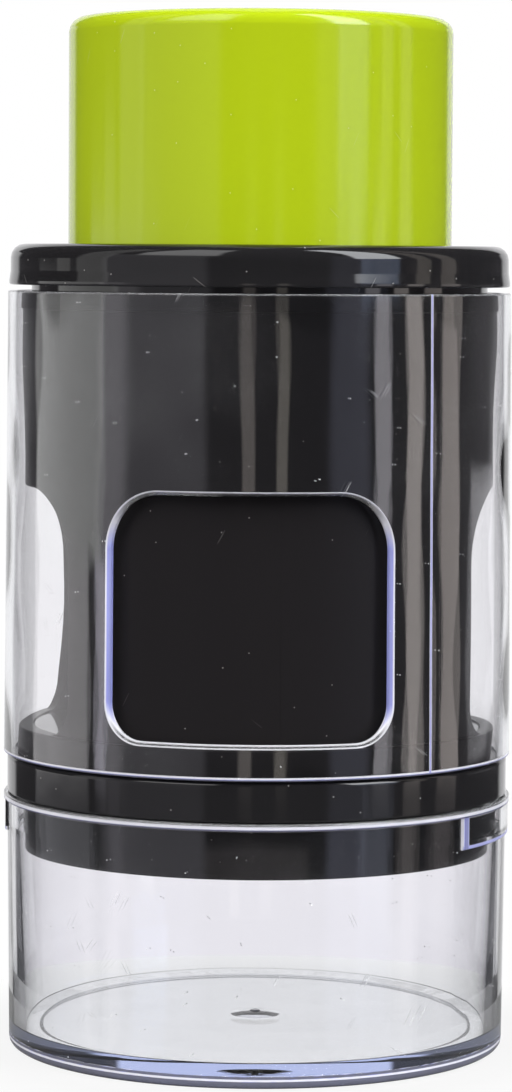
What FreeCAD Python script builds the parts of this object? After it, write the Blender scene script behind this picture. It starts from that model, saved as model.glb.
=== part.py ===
import FreeCAD, Part
import math
import os

# Strawberry slicer: a push-down plunger over a fixed row of blades, a turning
# clear sleeve round the fruit chamber, and a clear cup that catches the slices.
# Millimetres and degrees. The origin is the centre of the cup's underside and +Z
# is up. The front is -Y, and the chamber's two openings face +X and -X. Angles
# about Z are counted from the front towards the right.

Vector = FreeCAD.Vector
ORIGIN = Vector(0, 0, 0)
UP = Vector(0, 0, 1)
FULL_TURN = 360.0

# Shared by all moulded pieces
edge_round = 0.3
lip_round = 0.5
snap_depth = 0.3
push_fit = 0.05
past_face = 1.0

# Chamber body, the black tube with two loading openings
bore_radius = 38.0
body_wall = 1.65
foot_ring_step = 0.75
top_band_step = 0.25
top_band_height = 2.8
spigot_wall = 1.3
spigot_clearance = 0.1
opening_half_angle = 34.3
opening_sill = 4.55
opening_height = 40.3
opening_corner_top = 12.0
opening_corner_low = 5.0
guide_key_width = 4.0
guide_key_depth = 1.6
guide_key_clearance = 0.4

# Base ring, the black band between cup and sleeve, with its skirt in the cup
band_wall = 2.85
band_height = 6.9
band_fillet = 0.8
rim_gap = 0.2
skirt_step = 1.5
skirt_wall = 2.0
skirt_drop = 9.6
ledge_thickness = 2.0
ledge_drop = 3.8

# Collection cup
cup_height = 43.0
cup_clearance = 0.45
cup_wall = 2.25
cup_draft_inside = 0.65
cup_draft_outside = 0.3
cup_rim_bead = 0.65
cup_rim_height = 1.1
cup_floor = 4.0
cup_floor_fillet = 1.8
cup_base_fillet = 2.0
foot_width = 5.3
foot_recess = 0.8
gate_mark_radius = 4.2
gate_mark_height = 0.8

# Bayonet between the cup and the base ring
pocket_count = 2
pocket_start = 47.4
pocket_span = 45.0
pocket_wall = 1.1
pocket_bulge = 0.45
pocket_height = 5.3
entry_span = 19.0
lug_span = 16.5
lug_clearance = 0.3
lug_turn_clearance = 0.8

# Top collar
collar_height = 6.8
collar_overhang = 2.45
collar_fillet = 2.3
collar_plate = 2.2
collar_skin = 2.0
collar_bore_round = 0.6
plug_step = 0.4
plug_wall = 1.7
plug_depth = 7.0

# Clear sleeve with its window and its rib
sleeve_height = 77.2
sleeve_wall = 1.6
sleeve_room = 1.05
sleeve_draft = 0.5
sleeve_edge_round = 0.4
sleeve_seat_gap = 0.1
sleeve_top_gap = 1.0
sleeve_turn = -7.6
window_half_angle = 32.35
window_sill = 5.5
window_height = 39.6
window_corner_top = 9.0
window_corner_low = 6.0
window_bevel = 0.8
rib_angle = 45.9
rib_width = 1.9
rib_depth = 0.35

# Plunger: palm cap, core tube with its stop flange, and comb
cap_step = 5.8
cap_proud = 0.3
cap_fillet = 2.5
cap_wall = 2.2
cap_top_wall = 2.6
cap_clearance = 0.3
core_wall = 2.0
core_spigot_height = 12.0
core_snap_height = 7.0
stop_flange_thickness = 2.0
stop_gap = 0.1
plunger_clearance = 0.6
foot_plate = 2.0
foot_plate_lift = 0.1
foot_spigot_height = 7.0
fin_height = 10.0
fin_clearance = 1.05
fin_draft = 0.3
fin_tip_round = 0.5
fin_overrun = 0.75
comb_clearance = 0.7

# Blades, their frame and the clamp over their ends
blade_pitch = 6.0
blade_height = 5.0
blade_thickness = 0.5
blade_edge_height = 1.2
blade_edge_land = 0.08
blade_seat = 3.6
blade_row_margin = 2.5
blade_slot_clearance = 0.05
frame_wall = 4.9
frame_clearance = 0.3
frame_key_width = 6.0
frame_key_height = 2.6
frame_key_clearance = 0.2
clamp_thickness = 1.1
clamp_sink = 0.25
stake_radius = 1.2
stake_head_radius = 1.8
stake_head_height = 0.6
stake_clearance = 0.1

# Radii, from the bore outwards and inwards
body_radius = bore_radius + body_wall
foot_ring_radius = body_radius + foot_ring_step
top_band_radius = body_radius + top_band_step
spigot_radius = bore_radius + spigot_wall
socket_radius = spigot_radius + spigot_clearance
band_radius = socket_radius + band_wall
skirt_radius = bore_radius + skirt_step
skirt_bore = skirt_radius - skirt_wall
cup_bore_top = skirt_radius + cup_clearance
cup_bore_base = cup_bore_top - cup_draft_inside
cup_radius_top = cup_bore_top + cup_wall
cup_radius_base = cup_radius_top - cup_draft_outside
cup_rim_radius = cup_radius_top + cup_rim_bead
pocket_outside = cup_radius_top + pocket_bulge
pocket_inside = pocket_outside - pocket_wall
lug_radius = pocket_inside - lug_clearance
collar_radius = body_radius + collar_overhang
plug_socket = bore_radius + plug_step
plug_radius = plug_socket - push_fit
sleeve_radius_top = body_radius + sleeve_room + sleeve_wall
sleeve_radius_low = sleeve_radius_top + sleeve_draft
cap_radius = bore_radius - cap_step
cap_bore = cap_radius - cap_wall
guide_radius = cap_radius + cap_clearance
core_radius = cap_bore - push_fit
core_bore = core_radius - core_wall
plunger_radius = bore_radius - plunger_clearance
frame_radius = bore_radius - frame_clearance
frame_bore = frame_radius - frame_wall
comb_radius = frame_bore - comb_clearance

# Levels, from the table up
rim_bead_low = cup_height - cup_rim_height
pocket_low = rim_bead_low - pocket_height
band_low = cup_height + rim_gap
band_top = band_low + band_height
skirt_low = band_low - skirt_drop
ledge_top = band_top - ledge_drop
ledge_low = ledge_top - ledge_thickness
spigot_bead = (ledge_top + band_top) / 2
sill = band_top + opening_sill
opening_top = sill + opening_height
clamp_top = sill - clamp_sink
clamp_low = clamp_top - clamp_thickness
blade_low = clamp_low - blade_height
sleeve_low = band_top + sleeve_seat_gap
sleeve_top = sleeve_low + sleeve_height
window_low = sleeve_low + window_sill
body_top = sleeve_top - 2 * sleeve_seat_gap
plug_low = body_top - plug_depth
plug_bead = plug_low + plug_depth / 2
collar_low = sleeve_top + sleeve_top_gap
collar_top = collar_low + collar_height
plate_under = collar_top - collar_plate
plate_low = opening_top + foot_plate_lift
plate_top = plate_low + foot_plate
fin_low = plate_low - fin_height
stop_top = plug_low - stop_gap
core_bead = stop_top + core_snap_height
stroke = fin_low - blade_low + fin_overrun
cap_top = collar_top + stroke + cap_proud

# Angles of the bayonet
pocket_side_angle = math.degrees(pocket_wall / pocket_outside)
entry_start = pocket_start + pocket_side_angle
lug_start = entry_start + lug_turn_clearance

# The row of blades fills the frame's bore on both sides of the middle blade
blades_each_side = int((frame_bore - blade_row_margin) / blade_pitch)
blade_places = [index * blade_pitch for index in range(-blades_each_side, blades_each_side + 1)]
fin_places = [place + blade_pitch / 2 for place in blade_places[:-1]]


def outline(corners, place):
    """Closed wire through corners (u, v) or (u, v, rounding); place maps (u, v) into space."""
    points = [Vector(corner[0], corner[1], 0) for corner in corners]
    arrivals, middles, departures = [], [], []
    for index, corner in enumerate(corners):
        here = points[index]
        if len(corner) < 3:
            arrivals.append(here)
            middles.append(None)
            departures.append(here)
            continue
        back = (points[index - 1] - here).normalize()
        ahead = (points[(index + 1) % len(points)] - here).normalize()
        half_angle = back.getAngle(ahead) / 2
        reach = corner[2] / math.tan(half_angle)
        depth = corner[2] / math.sin(half_angle) - corner[2]
        arrivals.append(here + back * reach)
        middles.append(here + (back + ahead).normalize() * depth)
        departures.append(here + ahead * reach)
    edges = []
    for index, middle in enumerate(middles):
        following = arrivals[(index + 1) % len(points)]
        if middle:
            arc = Part.Arc(place(arrivals[index]), place(middle), place(departures[index]))
            edges.append(arc.toShape())
        edges.append(Part.makeLine(place(departures[index]), place(following)))
    return Part.Wire(edges)


def turn(shape, angle):
    """Copy of a shape turned about Z."""
    copy = shape.copy()
    copy.rotate(ORIGIN, UP, angle)
    return copy


def around(shape, count):
    """Copies of a shape, evenly spaced about Z."""
    return [turn(shape, index * FULL_TURN / count) for index in range(count)]


def turned(corners):
    """Solid of revolution from a profile of (radius, height) corners."""
    profile = Part.Face(outline(corners, lambda point: Vector(point.x, 0, point.y)))
    return profile.revolve(ORIGIN, UP, FULL_TURN)


def part_turned(corners, start, span):
    """Part of a solid of revolution, from an angle off the front and on to the right."""
    profile = Part.Face(outline(corners, lambda point: Vector(0, -point.x, point.y)))
    return turn(profile.revolve(ORIGIN, UP, span), start)


def section(inner, outer, low, high):
    """Corners of a plain rectangular profile."""
    return [(inner, low), (outer, low), (outer, high), (inner, high)]


def snap_bead(radius, level):
    """Profile corners of a snap bead, from its lower edge up."""
    return [(radius, level - snap_depth), (radius + snap_depth, level), (radius, level + snap_depth)]


def snap_groove(radius, level):
    """Profile corners of the groove that takes a snap bead, from its lower edge up."""
    floor = radius + snap_depth
    return [
        (radius, level - 2 * snap_depth),
        (floor, level - snap_depth),
        (floor, level + snap_depth),
        (radius, level + 2 * snap_depth),
    ]


def radial_cutter(radius, low, high, half_angle, round_top, round_low):
    """Wedge that cuts a window with radial sides and rounded corners in a wall facing front."""
    slope = math.tan(math.radians(half_angle))
    near = radius * 0.6
    far = radius * 1.3
    corners = [(-near * slope, -near), (near * slope, -near), (far * slope, -far), (-far * slope, -far)]
    plan = Part.Face(outline(corners, lambda point: Vector(point.x, point.y, low)))
    wedge = plan.extrude(UP * (high - low))
    for level, rounding in ((high, round_top), (low, round_low)):
        wedge = wedge.makeFillet(rounding, [edge for edge in wedge.Edges if is_radial(edge, level)])
    return wedge


def is_radial(edge, level):
    """True for a straight level edge that runs away from the axis."""
    ends = [vertex.Point for vertex in edge.Vertexes]
    at_level = all(abs(end.z - level) < edge_round for end in ends)
    return at_level and len(ends) == 2 and abs(ends[0].y - ends[1].y) > past_face


def block(size_x, size_y, low, high, centre_y=0.0):
    """Block centred on the Y axis in plan."""
    corner = Vector(-size_x / 2, centre_y - size_y / 2, low)
    return Part.makeBox(size_x, size_y, high - low, corner)


def bar(profile, length, centre_y):
    """Bar along X with a (y, z) profile, centred on a place in Y."""
    wire = outline(profile, lambda point: Vector(-length / 2, centre_y + point.x, point.y))
    return Part.Face(wire).extrude(Vector(length, 0, 0))


def half_chord(radius, distance):
    """Half the length of a circle's chord at a distance from its centre."""
    return math.sqrt(radius ** 2 - distance ** 2)


def collection_cup():
    """Clear cup: drafted wall, rim bead, foot ring, gate mark and two bayonet pockets."""
    foot_inner = cup_radius_base - foot_width
    bead_round = cup_rim_height * 0.45
    cup = turned([
        (0, foot_recess),
        (foot_inner, foot_recess),
        (foot_inner, 0),
        (cup_radius_base, 0, cup_base_fillet),
        (cup_radius_top, rim_bead_low),
        (cup_rim_radius, rim_bead_low, bead_round / 2),
        (cup_rim_radius, cup_height, bead_round),
        (cup_bore_top, cup_height, bead_round),
        (cup_bore_base, cup_floor, cup_floor_fillet),
        (0, cup_floor),
    ])
    bulge = part_turned(section(pocket_inside, pocket_outside, pocket_low, rim_bead_low + bead_round),
                        pocket_start, pocket_span)
    floor = pocket_low + pocket_wall
    pocket = part_turned(section(cup_bore_base, pocket_inside, floor, rim_bead_low),
                         entry_start, pocket_span - 2 * pocket_side_angle)
    entry = part_turned(section(cup_bore_base, pocket_inside, floor, cup_height + past_face),
                        entry_start, entry_span)
    cup = cup.fuse(around(bulge, pocket_count)).cut(around(pocket.fuse(entry), pocket_count))
    return cup.fuse(gate_mark()).removeSplitter()


def gate_mark():
    """Low dome in the middle of the cup's floor, with a root inside the floor."""
    ball_radius = (gate_mark_radius ** 2 + gate_mark_height ** 2) / (2 * gate_mark_height)
    ball = Part.makeSphere(ball_radius, Vector(0, 0, cup_floor + gate_mark_height - ball_radius))
    root = (cup_floor + foot_recess) / 2
    return ball.common(Part.makeCylinder(gate_mark_radius + past_face, cup_floor, Vector(0, 0, root)))


def base_ring():
    """Black band with the ledge for the blade frame, the skirt and the bayonet lugs."""
    ring = turned([
        (skirt_bore, skirt_low, lip_round),
        (skirt_radius, skirt_low, lip_round),
        (skirt_radius, band_low),
        (band_radius, band_low, edge_round),
        (band_radius, band_top, band_fillet),
        (socket_radius, band_top),
        *reversed(snap_groove(socket_radius, spigot_bead)),
        (socket_radius, ledge_top),
        (frame_bore, ledge_top, lip_round),
        (frame_bore, ledge_low, lip_round),
        (skirt_bore, ledge_low),
    ])
    root_radius = (skirt_bore + skirt_radius) / 2
    lug_low = pocket_low + pocket_wall + lug_clearance
    lug_profile = section(root_radius, lug_radius, lug_low, rim_bead_low - lug_clearance)
    lug = part_turned(lug_profile, lug_start, lug_span)
    return ring.fuse(around(lug, pocket_count)).removeSplitter()


def chamber_body():
    """Black tube: foot ring, top band, two loading openings and two inner guide keys."""
    shoulder = band_top + spigot_clearance
    tube = turned([
        (bore_radius, ledge_top + spigot_clearance),
        (spigot_radius, ledge_top + spigot_clearance),
        *snap_bead(spigot_radius, spigot_bead),
        (spigot_radius, shoulder),
        (foot_ring_radius, shoulder),
        (foot_ring_radius, sill, edge_round),
        (body_radius, sill),
        (body_radius, body_top - top_band_height),
        (top_band_radius, body_top - top_band_height),
        (top_band_radius, body_top, edge_round / 2),
        (plug_socket, body_top),
        *reversed(snap_groove(plug_socket, plug_bead)),
        (plug_socket, plug_low),
        (bore_radius, plug_low),
    ])
    key_span = math.degrees(guide_key_width / bore_radius)
    root_radius = (bore_radius + body_radius) / 2
    key = part_turned(section(bore_radius - guide_key_depth, root_radius, sill, plug_low),
                      -key_span / 2, key_span)
    opening = radial_cutter(body_radius, sill, opening_top, opening_half_angle,
                            opening_corner_top, opening_corner_low)
    notch = block(frame_key_width + 2 * frame_key_clearance, 2 * band_radius, ledge_low,
                  ledge_top + frame_key_height + frame_key_clearance)
    quarter = FULL_TURN / 4
    return tube.fuse(around(key, 2)).cut(around(turn(opening, quarter), 2)).cut(notch).removeSplitter()


def top_collar():
    """Black collar: rounded top, outer skin, plug in the body and bore for the plunger."""
    skin_inner = collar_radius - collar_skin
    plug_inner = plug_radius - plug_wall
    guide_outer = guide_radius + plug_wall
    return turned([
        (guide_radius, plug_low, edge_round),
        (guide_outer, plug_low, edge_round),
        (guide_outer, plate_under),
        (plug_inner, plate_under),
        (plug_inner, plug_low),
        (plug_radius, plug_low),
        *snap_bead(plug_radius, plug_bead),
        (plug_radius, plate_under),
        (skin_inner, plate_under),
        (skin_inner, collar_low),
        (collar_radius, collar_low, edge_round),
        (collar_radius, collar_top, collar_fillet),
        (guide_radius, collar_top, collar_bore_round),
    ])


def window_sleeve():
    """Clear drafted sleeve with a bevelled window and a full-height inner rib."""
    inner_low = sleeve_radius_low - sleeve_wall
    inner_top = sleeve_radius_top - sleeve_wall
    tube = turned([
        (inner_low, sleeve_low, sleeve_edge_round),
        (sleeve_radius_low, sleeve_low, sleeve_edge_round),
        (sleeve_radius_top, sleeve_top, sleeve_edge_round),
        (inner_top, sleeve_top, sleeve_edge_round),
    ])
    rib_span = math.degrees(rib_width / inner_low)
    rib = part_turned([
        (inner_low - rib_depth, sleeve_low + sleeve_edge_round),
        (inner_low + rib_depth, sleeve_low + sleeve_edge_round),
        (inner_top + rib_depth, sleeve_top - sleeve_edge_round),
        (inner_top - rib_depth, sleeve_top - sleeve_edge_round),
    ], rib_angle - rib_span / 2, rib_span)
    hole = radial_cutter(sleeve_radius_low, window_low, window_low + window_height,
                         window_half_angle, window_corner_top, window_corner_low)
    sleeve = tube.fuse(rib).cut(hole).removeSplitter()
    outside = [edge for edge in sleeve.Edges if is_window_outside(edge)]
    return turn(sleeve.makeChamfer(window_bevel, outside), sleeve_turn)


def is_window_outside(edge):
    """True for an edge where the window meets the sleeve's outside."""
    first, last = edge.ParameterRange
    for share in (0.1, 0.5, 0.9):
        point = edge.valueAt(first + share * (last - first))
        outside = sleeve_radius_low - sleeve_draft * (point.z - sleeve_low) / sleeve_height
        angle = abs(math.degrees(math.atan2(point.x, -point.y)))
        on_outside = abs(math.hypot(point.x, point.y) - outside) < sleeve_wall / 8
        in_height = window_low - edge_round < point.z < window_low + window_height + edge_round
        if not on_outside or not in_height or angle > window_half_angle + edge_round:
            return False
    return True


def plunger_cap():
    """Lime palm cap: a deep cup, open below, that slides in the collar."""
    return turned([
        (0, cap_top - cap_top_wall),
        (cap_bore, cap_top - cap_top_wall, cap_fillet / 2),
        *reversed(snap_groove(cap_bore, core_bead)),
        (cap_bore, stop_top),
        (cap_radius, stop_top),
        (cap_radius, cap_top, cap_fillet),
        (0, cap_top),
    ])


def guide_notches(low, high):
    """Cutters that clear the guide keys in a plunger flange."""
    key_span = math.degrees((guide_key_width + 2 * guide_key_clearance) / bore_radius)
    inner = bore_radius - guide_key_depth - guide_key_clearance
    profile = section(inner, bore_radius, low - past_face, high + past_face)
    return around(part_turned(profile, -key_span / 2, key_span), 2)


def pusher_core():
    """Black tube that plugs into the cap, with the stop flange that meets the collar."""
    flange_low = stop_top - stop_flange_thickness
    spigot_top = stop_top + core_spigot_height
    tube = turned([
        (core_bore, plate_top),
        (core_radius, plate_top),
        (core_radius, flange_low),
        (plunger_radius, flange_low, edge_round),
        (plunger_radius, stop_top, edge_round),
        (core_radius, stop_top),
        *snap_bead(core_radius, core_bead),
        (core_radius, spigot_top, lip_round),
        (core_bore, spigot_top, lip_round),
    ])
    return tube.cut(guide_notches(flange_low, stop_top)).removeSplitter()


def pusher_foot():
    """Comb: a plate with drafted fins that pass between the blades."""
    spigot = core_bore - push_fit
    plate = turned(section(0, plunger_radius, plate_low, plate_top)).cut(guide_notches(plate_low, plate_top))
    collar = turned(section(spigot - core_wall, spigot, plate_top, plate_top + foot_spigot_height))
    half_root = (blade_pitch - blade_thickness) / 2 - fin_clearance
    half_tip = half_root - fin_draft
    profile = [
        (-half_root, plate_low),
        (-half_tip, fin_low, fin_tip_round),
        (half_tip, fin_low, fin_tip_round),
        (half_root, plate_low),
    ]
    round_block = Part.makeCylinder(comb_radius, fin_height, Vector(0, 0, fin_low))
    fins = [bar(profile, 2 * comb_radius, place).common(round_block) for place in fin_places]
    return plate.fuse([collar] + fins).removeSplitter()


def stakes(clearance):
    """Countersunk stakes that hold the clamp on the blade frame, or their holes."""
    middle = (frame_bore + frame_radius) / 2
    offset = blade_pitch / 2
    side = half_chord(middle, offset)
    places = [(0, middle), (0, -middle)]
    places += [(x_side * side, y_side * offset) for x_side in (-1, 1) for y_side in (-1, 1)]
    root = clamp_low - clamp_thickness
    shank = stake_radius + clearance
    head = stake_head_radius + clearance
    pins = []
    for x, y in places:
        pin = Part.makeCylinder(shank, clamp_top - root, Vector(x, y, root))
        cone = Part.makeCone(shank, head, stake_head_height, Vector(x, y, clamp_top - stake_head_height))
        pins.append(pin.fuse(cone).removeSplitter())
    return pins


def blade_half_length(place):
    """Half the length of the blade that stands at a place in the row."""
    return half_chord(frame_bore + blade_seat, place)


def blade_frame():
    """Ring that holds the blades on edge in slots, with two keys and six stakes."""
    frame = turned(section(frame_bore, frame_radius, ledge_top, clamp_low))
    keys = block(frame_key_width, 2 * (spigot_radius - frame_clearance), ledge_top, ledge_top + frame_key_height)
    middle = Part.makeCylinder(frame_bore, frame_key_height + past_face, Vector(0, 0, ledge_top))
    slot_width = blade_thickness + 2 * blade_slot_clearance
    slots = []
    for place in blade_places:
        length = 2 * (blade_half_length(place) + blade_slot_clearance)
        slots.append(block(length, slot_width, blade_low - blade_slot_clearance, clamp_top, place))
    frame = frame.fuse([keys.cut(middle)] + stakes(0.0))
    return frame.cut(slots).removeSplitter()


def blade_clamp():
    """Flat ring over the blades' ends, held by the stakes."""
    ring = turned(section(frame_bore, frame_radius, clamp_low, clamp_top))
    return ring.cut(stakes(stake_clearance))


def blade(place):
    """Steel strip on edge along X, ground to a thin edge at the top."""
    half = blade_thickness / 2
    half_land = blade_edge_land / 2
    shoulder = clamp_low - blade_edge_height
    profile = [
        (-half, blade_low),
        (half, blade_low),
        (half, shoulder),
        (half_land, clamp_low),
        (-half_land, clamp_low),
        (-half, shoulder),
    ]
    return bar(profile, 2 * blade_half_length(place), place)


def export(name, shape):
    """Write one piece to its own STEP file."""
    solids = shape.Solids
    if len(solids) != 1 or not shape.isValid():
        raise ValueError(name + " isn't one valid solid")
    solids[0].exportStep("parts/" + name + ".step")


os.makedirs("parts", exist_ok=True)
export("collection_cup", collection_cup())
export("base_ring", base_ring())
export("chamber_body", chamber_body())
export("top_collar", top_collar())
export("window_sleeve", window_sleeve())
export("plunger_cap", plunger_cap())
export("pusher_core", pusher_core())
export("pusher_foot", pusher_foot())
export("blade_frame", blade_frame())
export("blade_clamp", blade_clamp())
for index, place in enumerate(blade_places):
    export("blade_%02d" % (index + 1), blade(place))
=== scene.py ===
"""Looks of the strawberry slicer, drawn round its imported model.

Tables hold millimetres and degrees. Angles are counted about Z from the front (-Y)
towards the right (+X), as in the part's own source. Meshes are in metres.
"""

import math

import bmesh
import bpy
import numpy as np
from mathutils import Matrix


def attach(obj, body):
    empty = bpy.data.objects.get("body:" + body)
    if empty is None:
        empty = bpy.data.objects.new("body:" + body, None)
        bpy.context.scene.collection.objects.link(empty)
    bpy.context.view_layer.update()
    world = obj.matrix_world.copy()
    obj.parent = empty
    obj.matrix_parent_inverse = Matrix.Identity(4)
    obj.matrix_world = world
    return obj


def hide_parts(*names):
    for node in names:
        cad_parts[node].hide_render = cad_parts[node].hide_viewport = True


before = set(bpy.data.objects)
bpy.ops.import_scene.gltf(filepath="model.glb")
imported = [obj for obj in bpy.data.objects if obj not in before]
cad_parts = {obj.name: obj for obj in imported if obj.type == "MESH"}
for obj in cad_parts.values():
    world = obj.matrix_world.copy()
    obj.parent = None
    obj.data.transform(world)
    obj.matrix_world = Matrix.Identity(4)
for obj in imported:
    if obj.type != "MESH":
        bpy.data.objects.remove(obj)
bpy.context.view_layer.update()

MM = 0.001

# Profiles: steps on an arc, distance of the support point beside it, and roundings: the
# usual one, larger ones, the one of a cut edge and that of a corner which hardly shows.
# Straight corners have no arc: STRAIGHT and LEAST_SWEEP keep their sums from dividing by 0
ARC_STEPS = 4
SUPPORT = 0.08
EDGE = 0.15
SOFT_EDGE = 0.3
LIP_EDGE = 0.5
CUT_EDGE = 0.12
FAINT_EDGE = 0.02
STRAIGHT = 0.999
LEAST_SWEEP = 1e-3

# Meshes: points this close are joined, edges this sharp are drawn sharp, even steps round
# the axis, and close steps across an edge that runs up a wall
WELD = 0.0005 * MM
SHARP = 50.0
AROUND = 240
CLOSE_STEPS = 5

# Grids round a hole: gaps between lines along a wall and at the hole's corners, counts of
# lines round the hole and up its three parts, and the least gap to a line of its own.
# Lines closer than SAME are the same line, and lengths under TINY are none
WALL_SPACING = 1.6
CORNER_SPACING = 0.7
HALO_LINES = 7
PART_LINES = 9
HIGH_LINES = 13
OWN_GAP = 0.3
SAME = 1e-5
TINY = 1e-6

# Chamber body
BORE = 38.0
BODY = 39.65
FOOT_RING = 40.4
TOP_BAND = 39.9
SPIGOT = 39.3
SPIGOT_LOW = 46.4
SHOULDER = 50.2
SILL = 54.65
OPENING_TOP = 94.95
OPENING_HALF = 34.3
BODY_TOP = 127.2
BAND_DEPTH = 2.8
PLUG_LOW = 120.2
PLUG_SOCKET = 38.4
KEY_HALF = 2.0
KEY_DEPTH = 1.6
OPENING_ROUND_HIGH = 12.0
OPENING_ROUND_LOW = 5.0
OPENING_REACH = 8.0
BODY_ROWS = (104.0, 110.0, 115.0)
# Half heights of the steps at the plug and the top band, support beside them, half share
# of the keys' slope. Top corner: depth under the top and how far it lies back, and a row
# of points under it
PLUG_STEP = 0.05
BAND_STEP = 0.02
STEP_SUPPORT = 0.2
KEY_SLOPE = 0.05
TOP_CORNER = ((0.25, 0.0), (0.1, 0.04), (0.0, 0.2))
TOP_ROW = 1.0

# Base ring
BAND = 42.25
BAND_LOW = 43.2
BAND_TOP = 50.1
BAND_SEAT = 49.75
SEAT_IN = 41.3
SKIRT = 39.5
SKIRT_BORE = 37.5
SKIRT_LOW = 33.6
LEDGE_LOW = 44.3
LEDGE_TOP = 46.3
LEDGE_BORE = 32.8
SOCKET = 39.4
LUG = 41.25
LUG_LOW = 38.0
LUG_HIGH = 41.6
LUG_START = 49.7
LUG_SPAN = 16.5
LUG_SOFT = 0.3
BAND_ROUND = 0.8

# Collection cup
CUP_TOP = 43.0
CUP_BEAD_LOW = 41.9
CUP_BEAD = 42.85
CUP_OUT_TOP = 42.2
CUP_OUT_BASE = 41.9
CUP_BORE_TOP = 40.5
CUP_BORE_BASE = 39.3
CUP_FLOOR = 4.0
CUP_FOOT = 36.6
CUP_RECESS = 0.8
CUP_FILLET = 0.2
CUP_ROUND = 1.3
CUP_BEAD_LIP = 0.25
CUP_BEAD_WHITE = 0.75
BEAD_ROUND = 0.2
RIM_ROUND = 0.45
# Gate mark: a low dome, whose shoulder lies at shares of its radius and height, and a nub
GATE_RADIUS = 4.2
GATE_HEIGHT = 0.45
GATE_FOOT_ROUND = 0.6
GATE_SHOULDER = (0.45, 0.85)
GATE_SHOULDER_ROUND = 3.0
NUB_RADIUS = 0.9
NUB_HEIGHT = 0.2
NUB_ROUND = 0.1
# Heights of faint corners on the cup's outside near its foot: between them lie a painted
# pale line and bands of painted deep-blue shade
CUP_LINES = (1.35, 1.72, 2.2)
POCKET_OUT = 42.65
POCKET_IN = 41.55
POCKET_LOW = 36.6
POCKET_FLOOR = 37.7
POCKET_START = 47.4
POCKET_SPAN = 45.0
POCKET_SIDE = 1.48
POCKET_BAND = 0.6
POCKET_SOFT = 0.6
ENTRY_SPAN = 19.0

# Clear sleeve
SLEEVE_LOW = 49.85
SLEEVE_TOP = 127.4
SLEEVE_OUT_LOW = 42.8
SLEEVE_OUT_TOP = 42.3
SLEEVE_WALL = 1.3
SLEEVE_ROUND = 0.2
SLEEVE_FOOT_ROUND = 0.3
SLEEVE_ROWS = (102.0, 3.2)
SLEEVE_TURN = -7.35
WINDOW_LOW = 55.7
WINDOW_TOP = 95.3
WINDOW_HALF = 32.1
WINDOW_BEVEL = 0.65
WINDOW_ROUND_HIGH = 9.0
WINDOW_ROUND_LOW = 6.0
WINDOW_REACH = 4.6
BEVEL_MIDDLE = 0.4
RIB_ANGLE = 45.65
RIB_HALF = 0.95
RIB_DEPTH = 0.35
RIB_SLOPE = 0.12
# Place of the painted light line before the rib's left flank, and the stops across it
RIB_PAINTED_LINE = -1.93
RIB_PAINTED_LINE_STOPS = (-0.3, -0.12, 0.12, 0.3)

# Top collar
COLLAR = 42.1
COLLAR_LOW = 128.4
COLLAR_TOP = 135.2
COLLAR_PLATE = 133.0
COLLAR_DRAFT = 0.05
COLLAR_ROUND = 2.3
FLARE = 0.225
FLARE_LOW = 129.1
FLARE_HIGH = 130.7
FLARE_ROUND = 0.8
COLLAR_SKIN = 40.1
PLUG = 38.35
PLUG_BORE = 36.65
GUIDE_OUT = 34.2
GUIDE = 32.5
GUIDE_ROUND = 0.6

# Palm cap
CAP = 32.2
CAP_BORE = 30.0
CAP_LOW = 120.1
CAP_TOP = 173.0
CAP_ROOF = 170.4
CAP_ROUND = 2.5

# Camera, fitted to the photograph
CAMERA_AZIMUTH = -5.3
CAMERA_DISTANCE = 666.7
CAMERA_HEIGHT = 133.06
CAMERA_PITCH = 0.0728
CAMERA_ROLL = 0.37
CAMERA_LENS = 130.21
CAMERA_SHIFT = -0.00185
CAMERA_NEAR = 0.01
SENSOR = 36.0

# Levels painted into a clear edge's colour: none, a painted pale glow, a painted blue glow,
# and a painted deep-blue shade under a lip. Then the colours painted for them, and how much
# of an edge at the pale level and above shows painted colour rather than clear
WALL, PALE, BLUE, DEEP = 0.0, 0.5, 1.0, 1.5
PAINTED_PALE_GLOW, PAINTED_BLUE_GLOW, PAINTED_DEEP_SHADE = "F2F1FA", "8C93EA", "1E2050"
PAINTED_EDGE_SHARE = 0.85

# Light and shade painted on the cup's edge by the run of its profile, counted from the axis:
# all the way round, over a pocket, and at a pocket's sides, with stops in degrees from a side
# and places for close lines of the grid. Levels above blue paint a deep-blue shade, lower
# ones a pale or blue glow, on the foot, bead, rim, pockets and gate mark
CUP_RUNS = dict(foot=2, base=3, base_line=4, over_line=5, ledge=7, band=8, bulge=9, under_bead=10,
                bead_foot=11, bead=12, bead_top=13, rim_top=14, gate_top=22, nub=23, nub_top=24)
CUP_PAINTED_LIGHT_AND_SHADE = dict(foot=DEEP, base=DEEP, base_line=0.5, over_line=DEEP, under_bead=DEEP, bead_foot=1.4,
                 bead=PALE, bead_top=0.12, rim_top=0.1, gate_top=0.05, nub=0.5, nub_top=0.3)
POCKET_PAINTED_LIGHT_AND_SHADE = dict(ledge=1.3, band=0.9)
POCKET_SIDE_PAINTED_LIGHT = dict(ledge=1.0, band=1.0, bulge=1.0)
SIDE_STOPS = (-0.3, -0.15, 0.25, 0.45, 2.0, 2.3)
SIDE_LEVELS = (0.0, PALE, PALE, 1.25, 1.2, 0.0)
SIDE_CLOSE = (0.65, 2.3)

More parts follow.
